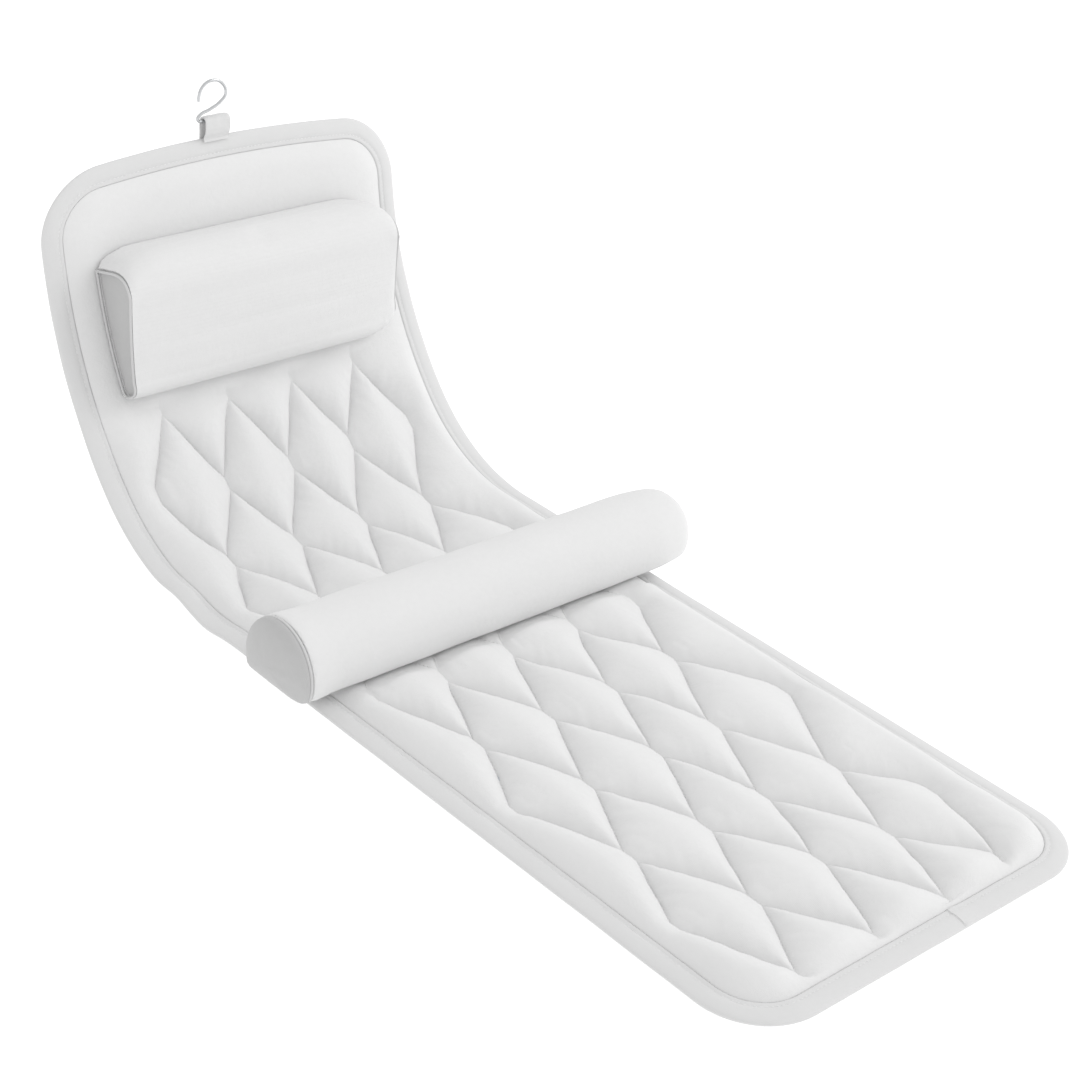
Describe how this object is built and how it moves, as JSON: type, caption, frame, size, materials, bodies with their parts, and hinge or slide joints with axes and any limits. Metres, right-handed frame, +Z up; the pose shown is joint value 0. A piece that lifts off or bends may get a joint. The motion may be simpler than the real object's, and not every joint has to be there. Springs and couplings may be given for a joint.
{
  "type": "bath pillow",
  "caption": "Full-body bath pillow: quilted mesh mat curling up into a backrest, with a seat bolster, a wedge head pillow, suction cups beneath and a wire hanging hook.",
  "frame": {"origin": "under the middle of the whole part, in the plane of the seat cups' rims", "axes": "+X across the mat to the right, +Y from the foot end to the head, +Z up"},
  "size_m": [0.4618, 0.9556, 0.4],
  "materials": {
    "quilted_mesh": "soft matt knitted mesh",
    "spacer_mesh": "open spacer mesh",
    "backing_mesh": "plain matt mesh",
    "binding_tape": "woven tape",
    "pillow_mesh": "fine knitted mesh",
    "gusset_mesh": "fine knitted mesh",
    "piping_cord": "corded edge",
    "fibre_filling": "polyester filling",
    "cup_rubber": "glossy clear soft rubber",
    "steel_wire": "polished wire"
  },
  "bodies": {
    "seat": {"seat_quilt_panel": "quilted_mesh", "seat_core_pad": "spacer_mesh", "seat_backing": "backing_mesh", "foot_binding": "binding_tape", "suction_cup_1": "cup_rubber", "suction_cup_2": "cup_rubber", "suction_cup_3": "cup_rubber", "suction_cup_4": "cup_rubber", "suction_cup_5": "cup_rubber", "suction_cup_6": "cup_rubber", "bolster_cover": "pillow_mesh", "bolster_core": "fibre_filling", "bolster_base_panel": "backing_mesh", "bolster_end_cap_left": "gusset_mesh", "bolster_end_cap_right": "gusset_mesh", "bolster_piping_left": "piping_cord", "bolster_piping_right": "piping_cord"},
    "hip": {"hip_quilt_panel": "quilted_mesh", "hip_core_pad": "spacer_mesh", "hip_backing": "backing_mesh", "hip_binding_left": "binding_tape", "hip_binding_right": "binding_tape"},
    "back": {"back_quilt_panel": "quilted_mesh", "back_core_pad": "spacer_mesh", "back_backing": "backing_mesh", "back_binding_left": "binding_tape", "back_binding_right": "binding_tape", "suction_cup_7": "cup_rubber", "suction_cup_8": "cup_rubber"},
    "head": {"head_panel": "quilted_mesh", "head_core_pad": "spacer_mesh", "head_backing": "backing_mesh", "head_binding": "binding_tape", "suction_cup_9": "cup_rubber", "suction_cup_10": "cup_rubber", "hook_tab": "binding_tape", "pillow_cover": "pillow_mesh", "pillow_core": "fibre_filling", "pillow_gusset_left": "gusset_mesh", "pillow_gusset_right": "gusset_mesh", "pillow_piping_left": "piping_cord", "pillow_piping_right": "piping_cord"},
    "hook": {"wire_hook": "steel_wire"}
  },
  "joints": [
    {"name": "hip_fold", "type": "hinge", "parent": "seat", "child": "hip", "pos_m": [0, 0.27261, 0.01589], "axis": [1, 0, 0], "range_deg": [-22, 6]},
    {"name": "back_fold", "type": "hinge", "parent": "hip", "child": "back", "pos_m": [0, 0.35134, 0.05781], "axis": [1, 0, 0], "range_deg": [-22, 6]},
    {"name": "head_fold", "type": "hinge", "parent": "back", "child": "head", "pos_m": [0, 0.40888, 0.12669], "axis": [1, 0, 0], "range_deg": [-16.5, 4.5]},
    {"name": "hook_swing", "type": "hinge", "parent": "head", "child": "hook", "pos_m": [-0.012, 0.46702, 0.36054], "axis": [1, 0, 0], "range_deg": [-85, 85]}
  ],
  "couplings": [
    {"joint": "back_fold", "follows": "hip_fold", "ratio": 1},
    {"joint": "head_fold", "follows": "hip_fold", "ratio": 0.75}
  ]
}
